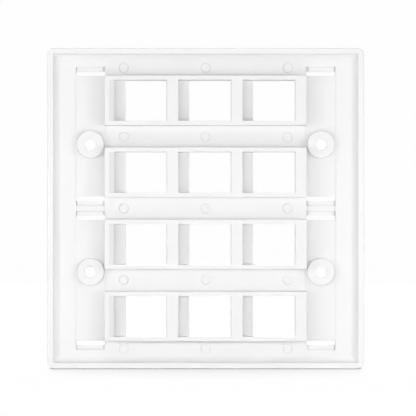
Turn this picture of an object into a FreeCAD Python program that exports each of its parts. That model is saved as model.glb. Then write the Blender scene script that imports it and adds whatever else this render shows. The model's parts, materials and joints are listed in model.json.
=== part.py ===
"""Double-gang keystone faceplate: one white plastic moulding for twelve snap-in jacks.

Frame, in millimetres: the wall is the plane Y = 0, the room is towards +Y, X runs along
the rows of ports and +Z is up. The origin is the centre of the four screw holes.
"""
import FreeCAD, Part
import math
import os

from FreeCAD import Vector

# Plate: an open-backed tray whose rim bears on the wall
PLATE_LENGTH = 114.3        # along X
PLATE_HEIGHT = 115.8        # along Z
PLATE_DEPTH = 5.6           # wall to front face
PANEL_THICKNESS = 2.3       # front wall of the tray
RIM_WIDTH = 2.05            # side wall of the tray, at the wall
CORNER_RADIUS = 2.5         # plan corners
FRONT_ROUND = 3.8           # round all along the front edge
COVE_RADIUS = 2.5           # inside, between side wall and front wall
RIM_ROUND = 0.35            # outer edge of the rim

# Keystone blocks: bars behind the front wall, one for each row of ports
ROWS = 4
ROW_PITCH = 25.9
BLOCK_LENGTH = 72.8
BLOCK_HEIGHT = 18.0
BLOCK_DEPTH = 10.0          # front face to the block's rear face
BLOCK_CHAMFER = 0.2         # its rear edges
BLOCK_CORNER = 0.45         # its upright corners

# Keystone port, latch side towards -X and hook side towards +X; depths from the front face
PORTS_IN_ROW = 3
PORT_PITCH = 23.1
PORT_GROUP_SHIFT = -0.45    # the middle port lies this far from the block's middle
PORT_WIDTH = 14.75          # across the jack
FRONT_OPENING = 16.3        # along the jack, through the front wall
MOUTH_LENGTH = 18.8         # along the jack, where it enters from behind
LEDGE_WIDTH = 3.9           # latch side: front opening's edge to the mouth's edge
LEDGE_DEPTH = 4.0           # the jack's latch side stops against this ledge
HOOK_LIP_DEPTH = 6.5        # the jack's hook side stops against this lip
CATCH_THICKNESS = 2.0       # the catches that hold the jack from behind
LATCH_UNDERCUT = 1.0        # room in front of the latch catch
HOOK_POCKET = 2.0           # room in front of the hook catch, from its edge
HOOK_LEAD_IN = 0.4          # chamfer on the hook catch
LEDGE_FILLET = 0.7          # both ends of the ledge
RAMP_RUN = 1.8              # sloped lead-in at the first port of each row
RAMP_RISE = 1.3

# Screw bosses for 6-32 oval-head screws, standard two-gang spacing
SCREW_SPACING_X = 83.34
SCREW_SPACING_Z = 46.04
BOSS_DIAMETER = 10.0
BOSS_CHAMFER = 0.25
SCREW_HOLE = 4.0
SCREW_HOLE_CHAMFER = 0.2    # where the screw comes out
HEAD_BORE = 7.6             # clears the screw's head
COUNTERSINK_ANGLE = 82.0
BOSS_LAND = 1.2             # straight hole behind the countersink

# Label recesses in the front face, one over each screw
LABEL_LENGTH = 46.9
LABEL_WIDTH = 10.5
LABEL_GAP = 0.05            # recess to the ends of the blocks
LABEL_RECESS = 1.6
LABEL_CORNER = 0.5
LABEL_WEB = 1.2             # wall behind the recess, raised as a pad inside the tray
PAD_LAP = 0.05              # how far the pad runs into the ends of the blocks

# Catches at both ends of each label recess, for the clips of a snap-in window
CLIP_SLOT = 1.6             # slot the clip goes through
POCKET_LENGTH = 1.75        # shallow pocket beyond the slot, where the clip's hook bears
POCKET_DEPTH = 0.45
POCKET_SLOPE = 0.5          # run of its sloped far wall
POCKET_BRIDGE = 1.8         # wall between an upper and a lower pocket
GROOVE_OUTER = 0.4          # deeper grooves at the pocket's two ends
GROOVE_INNER = 0.75
GROOVE_DEPTH = 1.3

# Ejector studs on the inside of the front wall
STUD_DIAMETER = 3.65
STUD_HEIGHT = 0.5
STUD_CHAMFER = 0.35
STUD_PITCH = 29.7           # along X
OUTER_STUD_GAP = 3.05       # outer studs' centres beyond the outer blocks

OVERLAP = 1.0               # how far tools run past what they cut
SUNK = 0.6                  # how far added shapes are sunk in the front wall
TOLERANCE = 1e-6
EDGE_POINTS = 5             # points along an edge that decide where it lies

floor_y = PLATE_DEPTH - PANEL_THICKNESS
block_rear_y = PLATE_DEPTH - BLOCK_DEPTH
recess_y = PLATE_DEPTH - LABEL_RECESS
pad_y = recess_y - LABEL_WEB


def box(x_range, y_range, z_range):
    """Box between the given limits."""
    size = [high - low for low, high in (x_range, y_range, z_range)]
    return Part.makeBox(*size, Vector(x_range[0], y_range[0], z_range[0]))


def centred_box(length, height, y_range, x=0.0, z=0.0):
    """Box of a given length and height about (x, z)."""
    return box((x - length / 2, x + length / 2), y_range, (z - height / 2, z + height / 2))


def edges_in_plane(shape, y):
    """Edges that lie in the plane Y = y."""
    whole = [e for e in shape.Edges if not e.Degenerated]
    return [e for e in whole if all(abs(p.y - y) < TOLERANCE for p in e.discretize(EDGE_POINTS))]


def edges_along_y(shape):
    """Straight edges that run along Y."""
    found = []
    for edge in shape.Edges:
        if edge.Degenerated:
            continue
        start, end = edge.discretize(2)
        if abs(start.x - end.x) < TOLERANCE and abs(start.z - end.z) < TOLERANCE:
            found.append(edge)
    return found


def bar_along_z(points, z, height):
    """Extrude an outline of (x, y) points along Z, centred on z."""
    low = z - height / 2
    corners = [Vector(x, y, low) for x, y in points]
    outline = Part.makePolygon(corners + corners[:1])
    return Part.Face(outline).extrude(Vector(0, 0, height))


def row_heights():
    """Z of each row of ports, from the bottom up."""
    return [(i - (ROWS - 1) / 2) * ROW_PITCH for i in range(ROWS)]


def port_starts():
    """X of each port's latch-side mouth edge, from -X to +X."""
    middle = PORT_GROUP_SHIFT - MOUTH_LENGTH / 2
    return [middle + (i - (PORTS_IN_ROW - 1) / 2) * PORT_PITCH for i in range(PORTS_IN_ROW)]


def tray():
    """Front wall and side walls, rounded outside and coved inside."""
    slab = centred_box(PLATE_LENGTH, PLATE_HEIGHT, (0, PLATE_DEPTH))
    slab = slab.makeFillet(FRONT_ROUND, edges_in_plane(slab, PLATE_DEPTH))
    slab = slab.makeFillet(CORNER_RADIUS, edges_along_y(slab))
    slab = slab.makeFillet(RIM_ROUND, edges_in_plane(slab, 0))
    hollow = centred_box(
        PLATE_LENGTH - 2 * RIM_WIDTH, PLATE_HEIGHT - 2 * RIM_WIDTH, (-OVERLAP, floor_y)
    )
    hollow = hollow.makeFillet(COVE_RADIUS, edges_in_plane(hollow, floor_y))
    return slab.cut(hollow)


def keystone_block(z):
    """Solid bar that a row of ports is cut from."""
    bar = centred_box(BLOCK_LENGTH, BLOCK_HEIGHT, (block_rear_y, floor_y + SUNK), z=z)
    bar = bar.makeFillet(BLOCK_CORNER, edges_along_y(bar))
    return bar.makeChamfer(BLOCK_CHAMFER, edges_in_plane(bar, block_rear_y))


def keystone_cavity(start, z, has_ramp):
    """Space that one jack needs: front opening, ledge, two undercuts and the mouth behind."""
    front = PLATE_DEPTH + OVERLAP
    rear = block_rear_y - OVERLAP
    ledge = PLATE_DEPTH - LEDGE_DEPTH
    lip = PLATE_DEPTH - HOOK_LIP_DEPTH
    catch = block_rear_y + CATCH_THICKNESS
    opening = (start + LEDGE_WIDTH, start + LEDGE_WIDTH + FRONT_OPENING)
    mouth_end = start + MOUTH_LENGTH
    z_range = (z - PORT_WIDTH / 2, z + PORT_WIDTH / 2)

    latch_room = box((start - LATCH_UNDERCUT, opening[0] + OVERLAP), (catch, ledge), z_range)
    ledge_ends = [
        e for e in edges_in_plane(latch_room, ledge)
        if abs(e.Vertexes[0].Z - e.Vertexes[1].Z) < TOLERANCE
    ]
    latch_room = latch_room.makeFillet(LEDGE_FILLET, ledge_ends)
    hook_room = bar_along_z(
        [
            (opening[0], front),
            (opening[0], catch),
            (mouth_end + HOOK_POCKET, catch),
            (mouth_end + HOOK_POCKET, lip),
            (opening[1], lip),
            (opening[1], front),
        ],
        z, PORT_WIDTH,
    )
    mouth = bar_along_z(
        [
            (start, catch + OVERLAP / 2),
            (start, rear),
            (mouth_end + HOOK_LEAD_IN, rear),
            (mouth_end + HOOK_LEAD_IN, block_rear_y),
            (mouth_end, block_rear_y + HOOK_LEAD_IN),
            (mouth_end, catch + OVERLAP / 2),
        ],
        z, PORT_WIDTH,
    )
    pieces = [hook_room, mouth]
    if has_ramp:
        slope = RAMP_RISE / RAMP_RUN
        pieces.append(bar_along_z(
            [
                (start + OVERLAP, block_rear_y + RAMP_RISE + OVERLAP * slope),
                (start + OVERLAP, rear),
                (start - RAMP_RUN - OVERLAP / slope, rear),
            ],
            z, PORT_WIDTH,
        ))
    return latch_room.fuse(pieces).removeSplitter()


def screw_positions():
    """(x, z) of the four screws."""
    half_x, half_z = SCREW_SPACING_X / 2, SCREW_SPACING_Z / 2
    return [(sx * half_x, sz * half_z) for sx in (-1, 1) for sz in (-1, 1)]


def screw_boss(x, z):
    """Round boss from the front wall to the wall plane."""
    boss = Part.makeCylinder(BOSS_DIAMETER / 2, floor_y + SUNK, Vector(x, 0, z), Vector(0, 1, 0))
    return boss.makeChamfer(BOSS_CHAMFER, edges_in_plane(boss, 0))


def screw_passage(x, z):
    """Stepped hole: head bore, countersink, straight hole and its rear chamfer."""
    hole, head = SCREW_HOLE / 2, HEAD_BORE / 2
    cone = (head - hole) / math.tan(math.radians(COUNTERSINK_ANGLE / 2))
    outline = [
        (0, -OVERLAP),
        (hole + SCREW_HOLE_CHAMFER, -OVERLAP),
        (hole + SCREW_HOLE_CHAMFER, 0),
        (hole, SCREW_HOLE_CHAMFER),
        (hole, BOSS_LAND),
        (head, BOSS_LAND + cone),
        (head, PLATE_DEPTH + OVERLAP),
        (0, PLATE_DEPTH + OVERLAP),
    ]
    corners = [Vector(x + r, y, z) for r, y in outline]
    profile = Part.Face(Part.makePolygon(corners + corners[:1]))
    return profile.revolve(Vector(x, 0, z), Vector(0, 1, 0), 360)


def label_positions():
    """(x, z, side) of the four label recesses; side is the sign of x."""
    label_x = BLOCK_LENGTH / 2 + LABEL_GAP + LABEL_WIDTH / 2
    label_z = (LABEL_LENGTH + POCKET_BRIDGE) / 2 + POCKET_LENGTH
    return [(sx * label_x, sz * label_z, sx) for sx in (-1, 1) for sz in (-1, 1)]


def label_pad(x, z, side):
    """Pad inside the tray that backs a label recess, from slot to slot."""
    lap = LABEL_GAP + PAD_LAP
    height = LABEL_LENGTH - 2 * CLIP_SLOT
    return centred_box(LABEL_WIDTH + lap, height, (pad_y, floor_y + SUNK), x - side * lap / 2, z)


def label_cuts(x, z, side):
    """Recess in the front face, with a clip slot and a hook pocket at each end."""
    low, high = x - LABEL_WIDTH / 2, x + LABEL_WIDTH / 2
    grooves = (GROOVE_INNER, GROOVE_OUTER) if side > 0 else (GROOVE_OUTER, GROOVE_INNER)
    pocket_edges = (low + grooves[0], high - grooves[1])
    recess = centred_box(LABEL_WIDTH, LABEL_LENGTH, (recess_y, PLATE_DEPTH + OVERLAP), x, z)
    recess = recess.makeFillet(LABEL_CORNER, edges_along_y(recess))
    cuts = [recess]
    for end in (-1, 1):
        slot_z = z + end * (LABEL_LENGTH - CLIP_SLOT) / 2
        through = (pad_y - OVERLAP, PLATE_DEPTH + OVERLAP)
        cuts.append(centred_box(LABEL_WIDTH, CLIP_SLOT, through, x, slot_z))
        near = z + end * LABEL_LENGTH / 2
        far = near + end * POCKET_LENGTH
        cuts.append(hook_pocket(pocket_edges, near, far))
        for groove in ((low, pocket_edges[0]), (pocket_edges[1], high)):
            cuts.append(box(groove, (pad_y, floor_y + GROOVE_DEPTH), sorted((near, far))))
    return cuts


def hook_pocket(x_range, near, far):
    """Shallow pocket with a sloped far wall, from z = near to z = far."""
    bottom = floor_y + POCKET_DEPTH
    slope_start = far - math.copysign(POCKET_SLOPE, far - near)
    outline = [(pad_y, near), (bottom, near), (bottom, slope_start), (floor_y, far), (pad_y, far)]
    corners = [Vector(x_range[0], y, z) for y, z in outline]
    section = Part.Face(Part.makePolygon(corners + corners[:1]))
    return section.extrude(Vector(x_range[1] - x_range[0], 0, 0))


def ejector_stud(x, z):
    """Low round stud on the inside of the front wall."""
    rear = floor_y - STUD_HEIGHT
    stud = Part.makeCylinder(
        STUD_DIAMETER / 2, STUD_HEIGHT + SUNK, Vector(x, rear, z), Vector(0, 1, 0)
    )
    return stud.makeChamfer(STUD_CHAMFER, edges_in_plane(stud, rear))


def stud_rows():
    """Z of each row of studs: between the blocks, and beyond the outer ones."""
    rows = row_heights()
    between = [(low + high) / 2 for low, high in zip(rows, rows[1:])]
    outer = rows[-1] + BLOCK_HEIGHT / 2 + OUTER_STUD_GAP
    return [-outer] + between + [outer]


def faceplate():
    """The whole moulding."""
    added = [keystone_block(z) for z in row_heights()]
    added += [screw_boss(x, z) for x, z in screw_positions()]
    added += [label_pad(x, z, side) for x, z, side in label_positions()]
    added += [ejector_stud(x, z) for x in (-STUD_PITCH, 0, STUD_PITCH) for z in stud_rows()]
    body = tray().fuse(added).removeSplitter()

    cuts = []
    for z in row_heights():
        for number, start in enumerate(port_starts()):
            cuts.append(keystone_cavity(start, z, has_ramp=number == 0))
    for x, z, side in label_positions():
        cuts += label_cuts(x, z, side)
    cuts += [screw_passage(x, z) for x, z in screw_positions()]
    return body.cut(cuts).removeSplitter()


def main():
    os.makedirs("parts", exist_ok=True)
    shape = faceplate()
    solid = shape.Solids[0]
    print("solids", len(shape.Solids), "valid", shape.isValid(), "faces", len(shape.Faces))
    print("volume cm3", round(solid.Volume / 1000, 3), "box", solid.BoundBox)
    shape.exportStep("parts/faceplate.step")


main()
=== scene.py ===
# %% [markdown]
# # A two-gang keystone faceplate in white moulded plastic
#
# The plate is a single injection moulding, seen here from behind: a shallow tray with four deep
# blocks across it, each block pierced by three jack ports, and round bosses for the four screws.
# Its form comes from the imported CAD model, so this lesson dresses that model: plastic, table,
# room, lamps and camera.
#
# We start by loading the model and keeping its box, because every later place is worked out
# from that box and from the record that comes with the model.

import json
import math

import bpy
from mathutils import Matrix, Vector


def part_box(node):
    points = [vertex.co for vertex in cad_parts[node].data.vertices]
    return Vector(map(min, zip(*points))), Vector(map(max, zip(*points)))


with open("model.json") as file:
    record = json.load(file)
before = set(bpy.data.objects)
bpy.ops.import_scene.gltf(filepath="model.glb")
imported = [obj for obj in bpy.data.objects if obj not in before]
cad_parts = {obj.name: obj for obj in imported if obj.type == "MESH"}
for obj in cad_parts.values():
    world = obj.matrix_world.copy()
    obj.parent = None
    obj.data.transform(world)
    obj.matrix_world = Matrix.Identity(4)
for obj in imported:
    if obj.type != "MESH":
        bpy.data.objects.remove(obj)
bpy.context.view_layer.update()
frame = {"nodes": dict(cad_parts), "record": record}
faceplate = frame["nodes"]["faceplate"]
low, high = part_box("faceplate")
plate_size = high - low
print("faceplate, mm:", [round(v * 1000, 2) for v in plate_size])

# %% [markdown]
# ## Reading the plate's depths
#
# The plate's front is polished, and the floors of the label recesses in it are not. Two planes
# tell them apart: the front face, which is the plate's highest Y, and the recess floor, whose
# place the model's record gives. Both numbers could be typed in, but read from the model they
# stay right when its sizes change.

# %% Find the planes the finish depends on
MM = 0.001
mounts = {m["name"]: m for m in frame["record"]["mounts"]}
front_y = high.y
label_y = mounts["label_window_1_low_x"]["pos_m"][1]
print("front face at", round(front_y / MM, 2), "mm, label recess at", round(label_y / MM, 2), "mm")


# %% [markdown]
# ## A helper for shader nodes
#
# A node tree reads best when each node is made in one line, with its settings beside it.
# This small helper adds a node, sets its fields and fills or links its inputs by name.

# %% Make a node in one line
def add_node(tree, kind, inputs=(), **settings):
    """Add a node; inputs is a dict of socket name or number to a value or to another socket."""
    node = tree.nodes.new(kind)
    for name, value in settings.items():
        setattr(node, name, value)
    for name, value in dict(inputs).items():
        if isinstance(value, bpy.types.NodeSocket):
            tree.links.new(value, node.inputs[name])
        else:
            node.inputs[name].default_value = value
    return node


def new_group(name, inputs, outputs):
    """Start a shader node group with named float inputs and typed outputs."""
    tree = bpy.data.node_groups.new(name, "ShaderNodeTree")
    for title, default in inputs:
        socket = tree.interface.new_socket(name=title, in_out="INPUT", socket_type="NodeSocketFloat")
        socket.default_value = default
    for title, kind in outputs:
        tree.interface.new_socket(name=title, in_out="OUTPUT", socket_type=kind)
    return tree, tree.nodes.new("NodeGroupInput"), tree.nodes.new("NodeGroupOutput")


print("node helpers ready")

# %% [markdown]
# ## The mould's skin
#
# A moulded part copies the steel it was pressed against. The hidden side of a faceplate comes
# off steel that was only spark eroded and stoned, which leaves a skin of pits a tenth of a
# millimetre wide, and it cools unevenly, so its gloss wanders a little from place to place.
#
# Two noises do this: a fine one for the pits and a broad one for the wandering gloss. They read
# Object coordinates, so they have a real size in metres and stay put when the part is reused.
# They live in a node group that takes both sizes as inputs, so another moulded piece can have
# the same skin with values of its own. A picture of a surface would need an unwrapped mesh and
# would repeat itself, which noise never does.

# %% Node group: moulded skin
PIT_SIZE = 0.15 * MM
CLOUD_SIZE = 9 * MM         # the wandering gloss

skin, skin_in, skin_out = new_group(
    "moulded_skin",
    [("Pit Size", PIT_SIZE), ("Cloud Size", CLOUD_SIZE)],
    [("Pits", "NodeSocketFloat"), ("Clouds", "NodeSocketFloat")],
)
place = add_node(skin, "ShaderNodeTexCoord").outputs["Object"]
pit_scale = add_node(skin, "ShaderNodeMath", {0: 1.0, 1: skin_in.outputs["Pit Size"]}, operation="DIVIDE")
pits = add_node(
    skin, "ShaderNodeTexNoise",
    {"Vector": place, "Scale": pit_scale.outputs[0], "Detail": 3.0, "Roughness": 0.6},
)
cloud_scale = add_node(skin, "ShaderNodeMath", {0: 1.0, 1: skin_in.outputs["Cloud Size"]}, operation="DIVIDE")
clouds = add_node(
    skin, "ShaderNodeTexNoise",
    {"Vector": place, "Scale": cloud_scale.outputs[0], "Detail": 2.0, "Roughness": 0.5},
)
skin.links.new(pits.outputs["Fac"], skin_out.inputs["Pits"])
skin.links.new(clouds.outputs["Fac"], skin_out.inputs["Clouds"])
print("group", skin.name, "with", len(skin.nodes), "nodes")

# %% [markdown]
# ## Which skin is where
#
# The side that faces the room came off polished steel, and the side that faces the wall did
# not. Two materials on chosen faces could show that, but both skins are one piece of plastic,
# so one material tells them apart by place. The polished skin is what lies nearer to the plate's
# outer box than the label recess is deep: the front face, the rounded front edge, the outside of
# the four side walls and the strip of rim beside them.
#
# The mask compares each point with the box that was read from the model. A smooth step, and
# not a hard one, lets the two skins run into each other without a line.
#
# The same distances find the rim. Its rear face is painted a little paler than the thick floor behind it.
# This is painted light, standing in for the light that two millimetres of white plastic let through.

# %% Node group: polished side
polished, polished_in, polished_out = new_group(
    "polished_side",
    [("Half Length", 1.0), ("Half Height", 1.0), ("Front", 1.0), ("Depth", 1 * MM), ("Rim Width", 1 * MM)],
    [("Mask", "NodeSocketFloat"), ("Rim", "NodeSocketFloat")],
)
place = add_node(polished, "ShaderNodeTexCoord").outputs["Object"]
axes = add_node(polished, "ShaderNodeSeparateXYZ", {0: place})


def distance_inside(tree, coordinate, limit, both_sides):
    """How far a point lies inside a limit along one axis."""
    if both_sides:
        coordinate = add_node(tree, "ShaderNodeMath", {0: coordinate}, operation="ABSOLUTE").outputs[0]
    return add_node(tree, "ShaderNodeMath", {0: limit, 1: coordinate}, operation="SUBTRACT").outputs[0]


from_ends = distance_inside(polished, axes.outputs["X"], polished_in.outputs["Half Length"], True)
from_top = distance_inside(polished, axes.outputs["Z"], polished_in.outputs["Half Height"], True)
from_front = distance_inside(polished, axes.outputs["Y"], polished_in.outputs["Front"], False)
nearest_side = add_node(polished, "ShaderNodeMath", {0: from_ends, 1: from_top}, operation="MINIMUM")
nearest = add_node(
    polished, "ShaderNodeMath", {0: nearest_side.outputs[0], 1: from_front}, operation="MINIMUM"
)
step = add_node(
    polished, "ShaderNodeMapRange",
    {"Value": nearest.outputs[0], "From Min": 0.0, "From Max": polished_in.outputs["Depth"],
     "To Min": 1.0, "To Max": 0.0},
    interpolation_type="SMOOTHSTEP",
)
polished.links.new(step.outputs["Result"], polished_out.inputs["Mask"])

in_rim = add_node(
    polished, "ShaderNodeMath", {0: nearest_side.outputs[0], 1: polished_in.outputs["Rim Width"]},
    operation="LESS_THAN",
)
near_rear = add_node(
    polished, "ShaderNodeMapRange",
    {"Value": axes.outputs["Y"], "From Min": 0.0, "From Max": polished_in.outputs["Rim Width"],
     "To Min": 1.0, "To Max": 0.0},
    interpolation_type="SMOOTHSTEP",
)
rim_mask = add_node(
    polished, "ShaderNodeMath", {0: in_rim.outputs[0], 1: near_rear.outputs[0]}, operation="MULTIPLY"
)
polished.links.new(rim_mask.outputs[0], polished_out.inputs["Rim"])
print("group", polished.name, "with", len(polished.nodes), "nodes")

# %% [markdown]
# ## Softened arrises
#
# No moulded edge is knife sharp: the cutter that made the mould leaves about a tenth of a
# millimetre. Modelling that round on hundreds of port edges would add thousands of facets that
# nobody could see. The Bevel node turns the shading normal close to an edge instead, which is
# all that a round of this size shows: a thin line that catches the light.

# %% The white plastic
ARRIS = 0.12 * MM           # radius at the edges of ports, pads and studs
PIT_DEPTH = 0.004 * MM
WHITE = (0.86, 0.86, 0.86, 1.0)
DULL_WHITE = (0.845, 0.845, 0.845, 1.0)
# painted light: a paler colour for the rim's rear face, in place of light shining through the thin rim
RIM_PAINTED_LIGHT_WHITE = (0.89, 0.89, 0.89, 1.0)
RIM_WIDTH = 2.05 * MM
ROUGHNESS = (0.46, 0.54)    # glossier and duller clouds
POLISHED_ROUGHNESS = 0.6    # share of that roughness left on the polished side
POLISHED_PITS = 0.15        # share of the pits left there
POLISHED_DEPTH = 0.9        # share of the label recess's depth over which the polish fades
PLASTIC_IOR = 1.46
PLASTIC_SPECULAR = 0.3

plastic = bpy.data.materials.new("white_moulded_plastic")
plastic.use_nodes = True
tree = plastic.node_tree
shader = tree.nodes["Principled BSDF"]
shader.inputs["IOR"].default_value = PLASTIC_IOR
shader.inputs["Specular IOR Level"].default_value = PLASTIC_SPECULAR

skin_here = add_node(tree, "ShaderNodeGroup", node_tree=skin)
skin_here.inputs["Pit Size"].default_value = PIT_SIZE
skin_here.inputs["Cloud Size"].default_value = CLOUD_SIZE
side_here = add_node(tree, "ShaderNodeGroup", node_tree=polished)
side_here.inputs["Half Length"].default_value = plate_size.x / 2
side_here.inputs["Half Height"].default_value = plate_size.z / 2
side_here.inputs["Front"].default_value = front_y
side_here.inputs["Depth"].default_value = POLISHED_DEPTH * (front_y - label_y)
side_here.inputs["Rim Width"].default_value = RIM_WIDTH

tint = add_node(tree, "ShaderNodeMix", {0: skin_here.outputs["Clouds"]}, data_type="RGBA")
tint.inputs[6].default_value = DULL_WHITE
tint.inputs[7].default_value = WHITE
# painted light: the rim's rear face gets the paler colour, standing in for light through the thin plastic
rim_painted_light_tint = add_node(
    tree, "ShaderNodeMix", {0: side_here.outputs["Rim"], 6: tint.outputs[2]}, data_type="RGBA"
)
rim_painted_light_tint.inputs[7].default_value = RIM_PAINTED_LIGHT_WHITE
tree.links.new(rim_painted_light_tint.outputs[2], shader.inputs["Base Color"])

gloss = add_node(
    tree, "ShaderNodeMapRange",
    {"Value": skin_here.outputs["Clouds"], "From Min": 0.3, "From Max": 0.7,
     "To Min": ROUGHNESS[0], "To Max": ROUGHNESS[1]},
)
smoother = add_node(
    tree, "ShaderNodeMapRange",
    {"Value": side_here.outputs["Mask"], "To Min": 1.0, "To Max": POLISHED_ROUGHNESS},
)
roughness = add_node(
    tree, "ShaderNodeMath", {0: gloss.outputs[0], 1: smoother.outputs[0]}, operation="MULTIPLY"
)
tree.links.new(roughness.outputs[0], shader.inputs["Roughness"])

arris = add_node(tree, "ShaderNodeBevel", {"Radius": ARRIS}, samples=8)
pit_strength = add_node(
    tree, "ShaderNodeMapRange",
    {"Value": side_here.outputs["Mask"], "To Min": 1.0, "To Max": POLISHED_PITS},
)
pit_height = add_node(
    tree, "ShaderNodeMath", {0: skin_here.outputs["Pits"], 1: pit_strength.outputs[0]}, operation="MULTIPLY"
)
pitted = add_node(
    tree, "ShaderNodeBump",
    {"Height": pit_height.outputs[0], "Distance": PIT_DEPTH, "Strength": 1.0, "Normal": arris.outputs[0]},
)
tree.links.new(pitted.outputs[0], shader.inputs["Normal"])

faceplate.data.materials.clear()
faceplate.data.materials.append(plastic)
print("plastic on", faceplate.name, "with", len(tree.nodes), "nodes")

# %% [markdown]
# ## The table
#
# The plate stands on its lower edge on a plain white table, and the table runs out of sight.
# A white background should not come from strong lamps, because they would burn out the pale
# plastic. Light Path tells which ray asks for a colour: camera, glossy and transmission rays
# get a white glow, and every other ray sees an ordinary pale table.
#
# A glow has no shadow of its own. Two Ambient Occlusion nodes look around each point of the
# table and dim the glow where the plate stands close: one looks ten centimetres around for the
# soft shadow, and one looks a centimetre around for the dark line under the rim. Right in front
# of a wall half of the sky is gone, and beside the wall's end less is, so the soft shadow starts
# where more than a seventh of the sky is gone. The lamps on both sides light the table beyond
# the plate's ends, so a mask along X lets the shadow end with the plate.

# %% Table
TABLE_SIZE = 6.0
TABLE_GLOW = 0.983          # seen directly: white, with hardly any shading of its own
TABLE_SEEN_COLOUR = 0.02
TABLE_COLOUR = 0.80         # what the table throws back on the plate
SOFT_SHADOW = {"reach": 0.10, "open_sky": 0.85, "depth": 0.175}
TIGHT_SHADOW = {"reach": 0.009, "open_sky": 1.0, "depth": 0.92}
SHADOW_END = (plate_size.x / 2 - 2.5 * MM, plate_size.x / 2 + 0.1 * MM)    # full, and gone
TABLE_ROUGHNESS = 0.9
GRAIN_SCALE = 400.0         # a grain of about two and a half millimetres
GRAIN_LEVELS = (0.98, 1.02)

table_material = bpy.data.materials.new("table_white")
table_material.use_nodes = True
table_tree = table_material.node_tree
table_shader = table_tree.nodes["Principled BSDF"]
table_shader.inputs["Roughness"].default_value = TABLE_ROUGHNESS
table_shader.inputs["Specular IOR Level"].default_value = 0.0
table_shader.inputs["Emission Strength"].default_value = 1.0


def seen_directly(tree):
    """1 for camera, glossy and transmission rays, and 0 for the rest."""
    rays = add_node(tree, "ShaderNodeLightPath").outputs
    seen = add_node(
        tree, "ShaderNodeMath",
        {0: rays["Is Camera Ray"], 1: rays["Is Glossy Ray"]}, operation="MAXIMUM",
    )
    return add_node(
        tree, "ShaderNodeMath",
        {0: seen.outputs[0], 1: rays["Is Transmission Ray"]}, operation="MAXIMUM",
    ).outputs[0]


def dimmed_near_plate(reach, open_sky, depth):
    """1 where that share of the sky is open, and 1 - depth where a wall hides half of it."""
    sky = add_node(table_tree, "ShaderNodeAmbientOcclusion", {"Distance": reach}, samples=8)
    return add_node(
        table_tree, "ShaderNodeMapRange",
        {"Value": sky.outputs["AO"], "From Min": 0.5, "From Max": open_sky, "To Min": 1 - depth},
    ).outputs[0]


def product(*factors):
    """The factors multiplied together."""
    result = factors[0]
    for factor in factors[1:]:
        result = add_node(
            table_tree, "ShaderNodeMath", {0: result, 1: factor}, operation="MULTIPLY"
        ).outputs[0]
    return result


table_seen = seen_directly(table_tree)
table_place = add_node(table_tree, "ShaderNodeTexCoord").outputs["Object"]
table_grain = add_node(table_tree, "ShaderNodeTexNoise", {"Vector": table_place, "Scale": GRAIN_SCALE})
own_shading = add_node(
    table_tree, "ShaderNodeMapRange",
    {"Value": table_seen, "To Min": TABLE_COLOUR, "To Max": TABLE_SEEN_COLOUR},
)
grain = add_node(
    table_tree, "ShaderNodeMapRange",
    {"Value": table_grain.outputs["Fac"], "To Min": GRAIN_LEVELS[0], "To Max": GRAIN_LEVELS[1]},
)
table_level = product(own_shading.outputs[0], grain.outputs[0])
table_colour = add_node(table_tree, "ShaderNodeCombineColor", {i: table_level for i in range(3)})
table_tree.links.new(table_colour.outputs[0], table_shader.inputs["Base Color"])

shadow = product(dimmed_near_plate(**SOFT_SHADOW), dimmed_near_plate(**TIGHT_SHADOW))
table_axes = add_node(table_tree, "ShaderNodeSeparateXYZ", {0: table_place})
sideways = add_node(table_tree, "ShaderNodeMath", {0: table_axes.outputs["X"]}, operation="ABSOLUTE")
beyond_end = add_node(
    table_tree, "ShaderNodeMapRange",
    {"Value": sideways.outputs[0], "From Min": SHADOW_END[0], "From Max": SHADOW_END[1]},
    interpolation_type="SMOOTHSTEP",
)
shadow_here = add_node(table_tree, "ShaderNodeMix", {0: beyond_end.outputs[0], 2: shadow, 3: 1.0})
glow_level = product(TABLE_GLOW, table_seen, shadow_here.outputs[0])
glow = add_node(table_tree, "ShaderNodeCombineColor", {i: glow_level for i in range(3)})
table_tree.links.new(glow.outputs[0], table_shader.inputs["Emission Color"])

bpy.ops.mesh.primitive_plane_add(size=TABLE_SIZE, location=(0, 0, low.z))
table = bpy.context.object
table.name = "table"
table.data.materials.append(table_material)
print("table at z", round(low.z / MM, 2), "mm")

# %% [markdown]
# ## The room's own light
#
# The world stands for the bright walls of a studio. Seen directly it is plain white. As a
# source of light it is much dimmer, about a fifth of white, and it reaches every surface from
# all around, which is what keeps the shadows inside the tray open and soft. Four real walls
# would do the same more slowly, and they would stand in the way of a camera on another side.

# %% World
ROOM_LEVEL = 0.211
ROOM_SEEN = 0.99            # the white behind the table

world = bpy.data.worlds.new("white_studio")
world.use_nodes = True
world_tree = world.node_tree
background = world_tree.nodes["Background"]
level = add_node(
    world_tree, "ShaderNodeMapRange",
    {"Value": seen_directly(world_tree), "To Min": ROOM_LEVEL, "To Max": ROOM_SEEN},
)
background.inputs["Color"].default_value = (1.0, 1.0, 1.0, 1.0)
world_tree.links.new(level.outputs[0], background.inputs["Strength"])
bpy.context.scene.world = world
print("room light level", ROOM_LEVEL)

# %% [markdown]
# ## Lamps behind the plate
#
# The plate is seen square on, and most of the light comes from close to the camera, so the
# trough between two blocks is bright while the walls beside it shade off. One large panel could
# light it as brightly, but then nothing would show how deep the tray is.
#
# A long level strip does most of the work. Three strips above it, the last one overhead, light
# what faces up: the lower walls of the tray and the plate's top edge. Two small softboxes at 40
# degrees draw the coves and the block ends on both sides, and four small lamps close by finish
# the shading of the lower and the upper half.
#
# Each lamp is an area light, because its size sets how soft its shadow is. Its power is in
# watts, its spread narrows the cone that it lights, and it is hidden from the camera.

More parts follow.
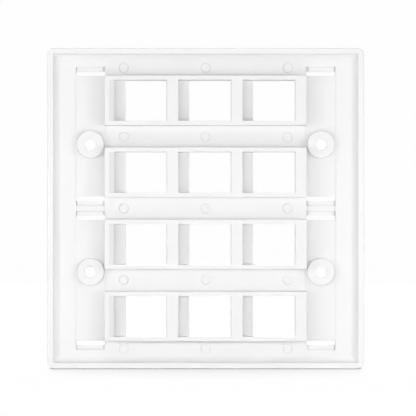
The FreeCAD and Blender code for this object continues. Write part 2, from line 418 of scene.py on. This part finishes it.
# %% Lamps behind the plate
def softbox(name, place, width, height, watts, target=(0, 0, 0), spread=180):
    """An area lamp of a given size, in metres, that faces its target; spread is in degrees."""
    lamp = bpy.data.lights.new(name, "AREA")
    lamp.shape = "RECTANGLE"
    lamp.size, lamp.size_y = width, height
    lamp.energy = watts
    lamp.spread = math.radians(spread)
    holder = bpy.data.objects.new(name, lamp)
    bpy.context.scene.collection.objects.link(holder)
    holder.location = place
    holder.rotation_euler = (Vector(target) - Vector(place)).to_track_quat("-Z", "Y").to_euler()
    holder.visible_camera = False
    return holder


def behind_the_plate(distance, azimuth, elevation):
    """A place that far from the origin; azimuth 0 is straight behind the plate."""
    a, e = math.radians(azimuth), math.radians(elevation)
    return (
        distance * math.sin(a) * math.cos(e),
        -distance * math.cos(a) * math.cos(e),
        distance * math.sin(e),
    )


LAMP_DISTANCE = 0.6
SMALL_BOX = (0.15, 0.06)

softbox("strip_level", behind_the_plate(LAMP_DISTANCE, 0, 0), 1.2, 0.2, 2.098)
softbox("strip_high", behind_the_plate(LAMP_DISTANCE, 0, 45), 1.0, 0.05, 0.4022)
softbox("strip_top", behind_the_plate(LAMP_DISTANCE, 0, 65), 1.0, 0.05, 0.1737)
softbox("overhead", (0, -0.02, 0.8), 0.8, 0.1, 0.5)
softbox("side_left", behind_the_plate(LAMP_DISTANCE, -40, 0), *SMALL_BOX, 0.3839)
softbox("side_right", behind_the_plate(LAMP_DISTANCE, 40, 0), *SMALL_BOX, 0.388)
softbox("near", (0, -0.2, -0.02), 0.2, 0.02, 0.03873)
softbox("lower_half", (0, -0.3, -0.04), 0.3, 0.03, 0.003344, target=(0, 0, -0.035), spread=25)
softbox("lower_half_far", (0, -0.5, -0.03), 0.6, 0.03, 0.007478, target=(0, 0, -0.035), spread=20)
softbox("upper_half", (0, -0.1, -0.05), 0.3, 0.02, 0.004079, target=(0, 0, 0.05), spread=50)

# %% [markdown]
# ## A lamp for the room side
#
# The lamps above leave the plate's front in the room's own light alone. One large softbox on
# that side lets the front face be judged as well. Some of its light comes round to the camera's
# side, through the ports and off the table, so the lamps behind the plate are set with it on.

# %% Lamp for the room side
ROOM_SIDE_PLACE = (0, 0.9, 0.35)
softbox("room_side", ROOM_SIDE_PLACE, 0.8, 0.5, 6.5)
print("room side lamp at", ROOM_SIDE_PLACE)

# %% [markdown]
# ## Camera
#
# The camera looks straight at the back of the plate from 0.9 m, with a long lens, so that the
# blocks hardly lean. The lens follows from how wide a view the frame takes in at the plate:
# focal length = sensor width x distance / view width.

# %% Camera
SENSOR = 36.0               # mm
CAMERA_DISTANCE = 0.9
VIEW_WIDTH = 0.1502
CAMERA_RIGHT = 0.84 * MM    # off the plate's middle
CAMERA_UP = 0.11 * MM

camera_data = bpy.data.cameras.new("camera")
camera_data.sensor_width = SENSOR
camera_data.lens = SENSOR * CAMERA_DISTANCE / VIEW_WIDTH
camera = bpy.data.objects.new("camera", camera_data)
bpy.context.scene.collection.objects.link(camera)
camera.location = (CAMERA_RIGHT, -CAMERA_DISTANCE, CAMERA_UP)
camera.rotation_euler = (math.radians(90), 0, 0)
bpy.context.scene.camera = camera
bpy.context.scene.view_settings.view_transform = "Standard"
print("lens", round(camera_data.lens, 1), "mm")
